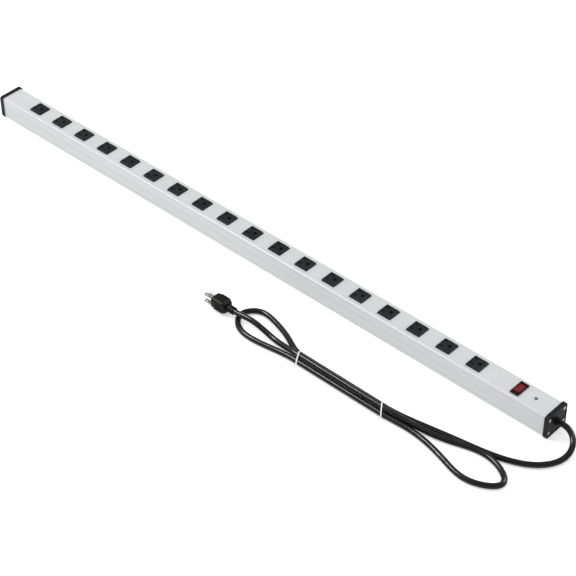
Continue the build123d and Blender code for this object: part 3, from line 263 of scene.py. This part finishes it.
def cord_vinyl():
    """Glossy black jacket: drawn streaks, faint dust, soft waviness."""
    s = Shader("cord_vinyl")
    streak = s.noise(scale=700, detail=2.0, stretch=(0.05, 1, 1))
    dust = s.noise(scale=420, detail=4.0)
    wave = s.noise(scale=110, detail=1.0)
    tone = s.mix(s.remap(dust, 0.6, 0.85, to_high=0.3), rgb(5, 5, 6), rgb(30, 31, 33))
    s.bump(wave, depth=0.12 * MM, strength=0.35)
    s.bump(streak, depth=0.02 * MM, strength=0.4)
    s.set(Base_Color=tone, Roughness=s.remap(streak, 0.3, 0.7, 0.3, 0.42))
    s.set(Coat_Weight=0.9, Coat_Roughness=0.12, Specular_IOR_Level=0.5)
    return s.done()


def rocker_red():
    """Translucent dark red moulding over a hidden lamp, darker towards its ends."""
    s = Shader("rocker_red")
    s.soften(0.3 * MM)
    swirl = s.noise(scale=420, detail=2.0)
    low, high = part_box("switch_rocker")
    middle = (low.y + high.y) / 2
    off = s.maths("ABSOLUTE", s.maths("SUBTRACT", s.axis("Y"), middle))
    ends = s.remap(off, low=5.5 * MM, high=10.5 * MM)
    tone = s.mix(s.remap(swirl, 0.35, 0.65), rgb(112, 14, 18), rgb(130, 24, 26))
    tone = s.mix(ends, tone, rgb(92, 12, 16))
    s.bump(swirl, depth=0.01 * MM, strength=0.3)
    s.set(Base_Color=tone, Roughness=s.remap(swirl, 0.3, 0.7, 0.2, 0.3), Coat_Weight=0.5)
    s.set(Coat_Roughness=0.08, Subsurface_Weight=0.25, Subsurface_Scale=0.8 * MM)
    s.set(Subsurface_Radius=(1.0, 0.12, 0.08))
    return s.done()


def lamp_glass():
    """Neon lamp envelope with a warm inner tint."""
    s = Shader("lamp_glass")
    smear = s.noise(scale=600, detail=2.0)
    s.bump(smear, depth=0.01 * MM, strength=0.3)
    s.set(Base_Color=s.mix(smear, rgb(246, 190, 150), rgb(236, 150, 110)))
    s.set(Roughness=s.remap(smear, 0.3, 0.7, 0.03, 0.1), Transmission_Weight=0.8)
    return s.done()


def tie_paper():
    """White paper over a wire: fine fibre and soft creases."""
    s = Shader("tie_paper")
    fibre = s.noise(scale=3000)
    crease = s.noise(scale=500, detail=2.0)
    tone = s.mix(s.remap(crease, 0.35, 0.7), rgb(240, 240, 238), rgb(222, 222, 218))
    s.bump(fibre, depth=0.03 * MM, strength=0.5)
    s.bump(crease, depth=0.06 * MM, strength=0.5)
    s.set(Base_Color=tone, Roughness=s.remap(fibre, 0.3, 0.7, 0.5, 0.7))
    return s.done()


# Each edge tone below is a painted highlight along that part's edges.
MOULDED = {
    "cap_plastic": dict(
        dark=rgb(20, 21, 22), light=rgb(28, 29, 30), rough=0.36, edge_highlight_tone=rgb(74, 76, 78)
    ),
    "outlet_plastic": dict(
        dark=rgb(24, 26, 29), light=rgb(34, 37, 40), rough=0.38, edge_highlight_tone=rgb(88, 92, 96)
    ),
    "switch_plastic": dict(
        dark=rgb(14, 15, 16), light=rgb(22, 23, 24), rough=0.36, edge_highlight_tone=rgb(56, 58, 60)
    ),
    "plug_pvc": dict(
        dark=rgb(11, 11, 12), light=rgb(19, 20, 21), rough=0.42, edge_highlight_tone=rgb(48, 50, 52),
        pit_depth=0.05 * MM, pits_per_metre=900,
    ),
    "nylon": dict(dark=rgb(206, 202, 190), light=rgb(220, 216, 205), rough=0.42),
    "wire_black": dict(dark=rgb(22, 22, 23), light=rgb(34, 34, 36), rough=0.35),
    "wire_white": dict(dark=rgb(214, 212, 204), light=rgb(228, 226, 219), rough=0.38),
    "wire_green": dict(dark=rgb(32, 104, 50), light=rgb(46, 128, 64), rough=0.38),
    "resistor_body": dict(dark=rgb(190, 164, 120), light=rgb(206, 182, 138), rough=0.35),
}
METALS = {
    "zinc_steel": dict(
        dark=rgb(206, 208, 210), light=rgb(236, 237, 238), rough=0.28, shine=0.35
    ),
    "nickel": dict(
        dark=rgb(186, 182, 172), light=rgb(222, 219, 211), rough=0.24,
        stretch=(0.05, 1, 1), shine=0.7,
    ),
    "brass": dict(dark=rgb(158, 124, 62), light=rgb(204, 170, 96), rough=0.3),
    "copper_wire": dict(
        dark=rgb(140, 78, 46), light=rgb(196, 122, 78), rough=0.3, stretch=(0.03, 1, 1)
    ),
}
FINISHES = {
    "body_enamel": enamel(),
    "rocker_red": rocker_red(),
    "cord_rubber": cord_vinyl(),
    "lamp_glass": lamp_glass(),
    "tie_paper": tie_paper(),
}
for slot_name, look in MOULDED.items():
    FINISHES[slot_name] = moulded(slot_name, **look)
for slot_name, look in METALS.items():
    FINISHES[slot_name] = metal(slot_name, **look)


def paint(obj, slot_name):
    """Gives every face of obj the finish of one slot."""
    obj.data.materials.clear()
    obj.data.materials.append(FINISHES[slot_name])
    for face in obj.data.polygons:
        face.material_index = 0


SLOTS = {p["node"]: p["material_slot"] for p in frame["record"]["subparts"]}
for node_name, node in NODES.items():
    paint(node, SLOTS[node_name])

# The bond screw is duller than the screws of the caps.
NODES["ground_screw"].data.materials[0] = metal(
    "dull_screw", dark=rgb(92, 94, 97), light=rgb(124, 126, 129), rough=0.4, shine=0.6
)


# ---- twist ties ---------------------------------------------------------------------

STRAND_RADIUS = 5.02 * MM
STRAND_SPREAD = 7.1 * MM
TIE_HALF_WIDTH = 1.2 * MM
TIE_CORE = 0.38 * MM
TURN_STEPS = 22

# The twisted ends: size and shape, where the knot sits, and how they twist and then splay.
TAIL_LENGTH = 5.5 * MM
TAIL_STEPS = 31
TAIL_SLANT = 0.35
TAIL_DROP = 0.9
TAIL_WIDTH = 0.6
TAIL_THICKNESS = 0.8
KNOT_OUT = 0.3 * MM
KNOT_UP = 1 * MM
TWIST_RATE = 5.2 * math.pi
TWISTED_SHARE = 0.72
TWIST_RADIUS = 0.4 * MM
SPLAY = 5 * MM
FLOOR_GAP = 1.0 * MM


def tie_section(centre, across, outward):
    """Closed ring of points: a thin strip with a round wire down its middle."""
    # Shares of the half width and of the wire's radius, from the wire's top out to the edge.
    quarter = [(0.2, 0.8), (0.35, 0.36), (0.9, 0.33)]
    upper_left = [(-u, v) for u, v in quarter[::-1]]
    lower_right = [(u, -v) for u, v in quarter[::-1]]
    lower_left = [(-u, -v) for u, v in quarter]
    outline = (
        [(-1, 0)] + upper_left + [(0, 1)] + quarter + [(1, 0)] + lower_right + [(0, -1)] + lower_left
    )
    return [centre + across * (u * TIE_HALF_WIDTH) + outward * (v * TIE_CORE) for u, v in outline]


def skin(mesh, rings, closed):
    """Joins rings of points into a tube; open tubes get end faces."""
    made = [[mesh.verts.new(p) for p in ring] for ring in rings]
    pairs = list(zip(made, made[1:])) + ([(made[-1], made[0])] if closed else [])
    for first, second in pairs:
        for i in range(len(first)):
            j = (i + 1) % len(first)
            mesh.faces.new((first[i], first[j], second[j], second[i]))
    if not closed:
        mesh.faces.new(made[0][::-1])
        mesh.faces.new(made[-1])


def around(spots, radius, steps):
    """Points and outward ways round a loop stretched over circles at spots, in turn round them."""
    for here, after, before in zip(spots, spots[1:] + spots[:1], spots[-1:] + spots[:-1]):
        come = math.atan2(here[1] - before[1], here[0] - before[0]) - math.pi / 2
        leave = math.atan2(after[1] - here[1], after[0] - here[0]) - math.pi / 2
        turn = (leave - come) % (2 * math.pi)
        for i in range(steps):
            a = come + turn * i / (steps - 1)
            way = (math.cos(a), math.sin(a))
            yield here[0] + radius * way[0], here[1] + radius * way[1], way


def add_tail(mesh, root, lowest_z, phase):
    """One of the two ends that twist round each other from root, kept above lowest_z."""
    rings = []
    for i in range(TAIL_STEPS + 1):
        t = i / TAIL_STEPS
        along = TAIL_LENGTH * t
        drop = (root.z - lowest_z) * (1 - (1 - t) ** 2) * TAIL_DROP
        twist = phase + min(t, TWISTED_SHARE) * TWIST_RATE
        spread = TWIST_RADIUS + max(0.0, t - TWISTED_SHARE) * SPLAY
        way = Vector((math.cos(twist), 0, math.sin(twist)))
        spot = root + Vector((-TAIL_SLANT * along, -along, -drop)) + way * spread
        spot.z = max(spot.z, lowest_z)
        side = Vector((-math.sin(twist), 0, math.cos(twist)))
        rings.append(tie_section(spot, side * TAIL_WIDTH, way * TAIL_THICKNESS))
    skin(mesh, rings, closed=False)


def placed(mesh, name):
    """Scene object made from a bmesh, which is freed."""
    data = bpy.data.meshes.new(name)
    mesh.to_mesh(data)
    mesh.free()
    obj = bpy.data.objects.new(name, data)
    bpy.context.scene.collection.objects.link(obj)
    return obj


def build_tie(node_name, lean):
    """A loop round the three strands, leaning by lean, and two ends twisted on its low side."""
    low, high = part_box(node_name)
    middle_x = (low.x + high.x) / 2
    inner_y = high.y - STRAND_RADIUS - TIE_CORE
    lay_z = low.z + STRAND_RADIUS + TIE_CORE
    top_z = high.z - STRAND_RADIUS - TIE_CORE
    spots = [
        (inner_y, lay_z),
        (inner_y - STRAND_SPREAD, top_z),
        (inner_y - 2 * STRAND_SPREAD, lay_z),
    ]
    centre_y = inner_y - STRAND_SPREAD
    mesh = bmesh.new()
    rings = []
    for y, z, (oy, oz) in around(spots, STRAND_RADIUS, TURN_STEPS):
        centre = Vector((middle_x + lean * (y - centre_y), y, z))
        rings.append(tie_section(centre, Vector((1, 0, 0)), Vector((0, oy, oz))))
    skin(mesh, rings, closed=True)
    outer_y = inner_y - 2 * STRAND_SPREAD - STRAND_RADIUS
    root_x = middle_x + lean * (outer_y - centre_y)
    root = Vector((root_x, outer_y + KNOT_OUT, lay_z + KNOT_UP))
    for phase in (0.0, math.pi):
        add_tail(mesh, root, low.z + FLOOR_GAP, phase)
    bmesh.ops.recalc_face_normals(mesh, faces=mesh.faces)
    tie = placed(mesh, node_name + "_wrap")
    for face in tie.data.polygons:
        face.use_smooth = True
    paint(tie, "tie_paper")
    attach(tie, "housing")
    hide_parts(node_name)


build_tie("twist_tie_left", -0.45)
build_tie("twist_tie_right", -0.7)


# ---- floor, light, camera -----------------------------------------------------------

# The floor glows a little so that it reads pale, and is dimmer where glossy rays see it.
FLOOR_SIZE = 9.0
FLOOR_SQUARES = 8
FLOOR_GLOW = 0.34
FLOOR_GLOSS_LOSS = 0.75

# The room is bright to the eye and dim in reflections, so that black plastic stays black.
WORLD_STRENGTH = 0.92
WORLD_IN_GLOSS = 0.17

# Area lights: name, spot, target, side in metres, power in watts.
SOFTBOXES = [
    ("key", (-1.9, -1.1, 3.0), (0, 0, 0), 1.3, 52),
    ("rim", (1.2, 2.6, 2.4), (0.2, 0, 0), 1.8, 24),
]

# Camera solved from the photo's row of outlets and the edges of the housing.
CAMERA_SPOT = (1.6048, -1.6402, 1.9028)
CAMERA_RIGHT = Vector((0.73538, 0.67761, -0.00787))
CAMERA_UP = Vector((-0.43835, 0.48452, 0.75703))
CAMERA_SENSOR = 36.0
CAMERA_LENS = 113.2
CAMERA_REACH = 60


def build_floor():
    """Pale plane under the end caps."""
    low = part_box("end_cap_cord")[0]
    mesh = bmesh.new()
    bmesh.ops.create_grid(mesh, x_segments=FLOOR_SQUARES, y_segments=FLOOR_SQUARES, size=FLOOR_SIZE)
    floor = placed(mesh, "floor")
    floor.location = (0, 0, low.z)
    s = Shader("pale_floor")
    haze = s.noise(scale=3, detail=2.0)
    ray = s.node("ShaderNodeLightPath")
    loss = s.maths("MULTIPLY", ray.outputs["Is Glossy Ray"], FLOOR_GLOSS_LOSS)
    seen = s.maths("SUBTRACT", 1.0, loss)
    pale = s.mix(haze, grey(0.8), grey(0.82))
    s.set(Base_Color=s.mix(seen, grey(0.1), pale), Roughness=0.9, Specular_IOR_Level=0.1)
    s.set(Emission_Color=grey(1), Emission_Strength=s.maths("MULTIPLY", seen, FLOOR_GLOW))
    floor.data.materials.append(s.done())


def softbox(name, spot, target, size, power):
    """Square area light at spot that faces target."""
    light = bpy.data.lights.new(name, "AREA")
    light.size = size
    light.energy = power
    lamp = bpy.data.objects.new(name, light)
    lamp.location = spot
    lamp.rotation_euler = (Vector(target) - Vector(spot)).to_track_quat("-Z", "Y").to_euler()
    bpy.context.scene.collection.objects.link(lamp)


def build_light():
    """Even white room and two soft area lights."""
    world = bpy.data.worlds.new("studio")
    world.use_nodes = True
    nodes, links = world.node_tree.nodes, world.node_tree.links
    ray = nodes.new("ShaderNodeLightPath")
    glow = nodes.new("ShaderNodeMapRange")
    glow.inputs["To Min"].default_value = WORLD_STRENGTH
    glow.inputs["To Max"].default_value = WORLD_IN_GLOSS
    links.new(ray.outputs["Is Glossy Ray"], glow.inputs["Value"])
    nodes["Background"].inputs["Color"].default_value = grey(1)
    links.new(glow.outputs["Result"], nodes["Background"].inputs["Strength"])
    bpy.context.scene.world = world
    for lamp in SOFTBOXES:
        softbox(*lamp)


def build_camera():
    """Camera at the photo's viewing angle."""
    lens = bpy.data.cameras.new("camera")
    lens.sensor_width = CAMERA_SENSOR
    lens.lens = CAMERA_LENS
    lens.clip_end = CAMERA_REACH
    camera = bpy.data.objects.new("camera", lens)
    ways = Matrix((CAMERA_RIGHT, CAMERA_UP, CAMERA_RIGHT.cross(CAMERA_UP))).transposed()
    camera.matrix_world = Matrix.Translation(CAMERA_SPOT) @ ways.to_4x4()
    bpy.context.scene.collection.objects.link(camera)
    bpy.context.scene.camera = camera


build_floor()
build_light()
build_camera()
bpy.context.scene.view_settings.view_transform = "Standard"
bpy.context.scene.view_settings.look = "None"
